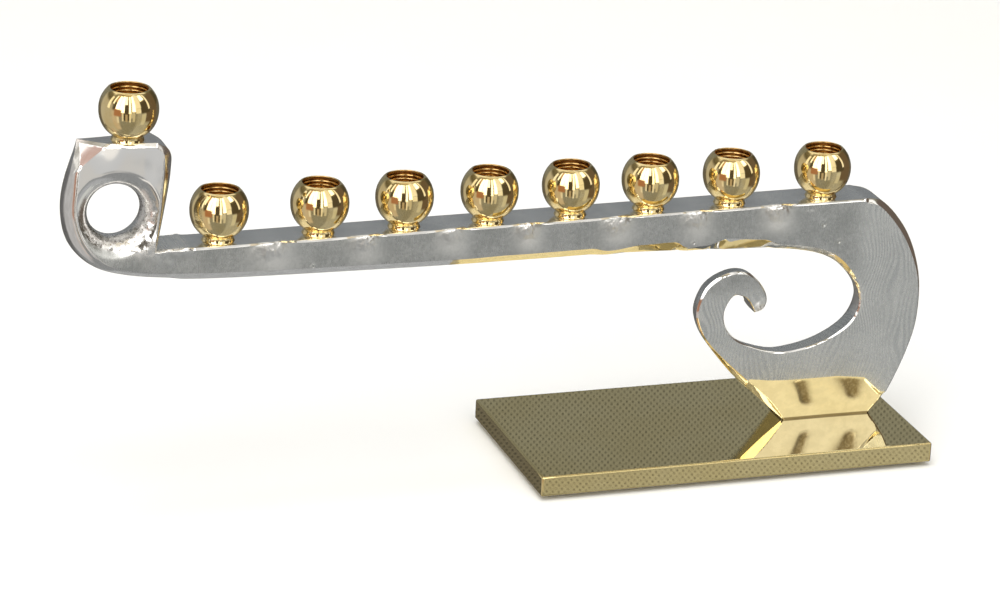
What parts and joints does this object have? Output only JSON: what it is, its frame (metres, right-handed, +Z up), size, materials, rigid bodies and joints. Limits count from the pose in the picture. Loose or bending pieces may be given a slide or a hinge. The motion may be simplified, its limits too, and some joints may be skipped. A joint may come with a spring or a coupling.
{
  "type": "menorah",
  "caption": "Desk menorah: ball-shaped brass candle cups on a cast aluminium scroll with a raised servant light, on a brass bar base.",
  "frame": {"origin": "middle of the felt's underside, on the surface the menorah stands on", "axes": "+X runs along the beam away from the servant light, +Y goes to the back, +Z is up"},
  "size_m": [0.2547, 0.06, 0.1193],
  "materials": {
    "casting": "hand-brushed front face with bright polished bevels and a few as-cast lumps",
    "brass_cup": "mirror polished, turned",
    "brass_plate": "polished flat bar with bright edges",
    "brass_screw": "plain machined",
    "steel_screw": "zinc plated",
    "felt": "black adhesive felt"
  },
  "bodies": {
    "root": {"base_felt": "felt", "base_plate": "brass_plate", "scroll_casting": "casting", "servant_cup": "brass_cup", "candle_cup_1": "brass_cup", "candle_cup_2": "brass_cup", "candle_cup_3": "brass_cup", "candle_cup_4": "brass_cup", "candle_cup_5": "brass_cup", "candle_cup_6": "brass_cup", "candle_cup_7": "brass_cup", "candle_cup_8": "brass_cup", "servant_cup_screw": "brass_screw", "candle_cup_1_screw": "brass_screw", "candle_cup_2_screw": "brass_screw", "candle_cup_3_screw": "brass_screw", "candle_cup_4_screw": "brass_screw", "candle_cup_5_screw": "brass_screw", "candle_cup_6_screw": "brass_screw", "candle_cup_7_screw": "brass_screw", "candle_cup_8_screw": "brass_screw", "base_screw_1": "steel_screw", "base_screw_2": "steel_screw"}
  },
  "joints": []
}
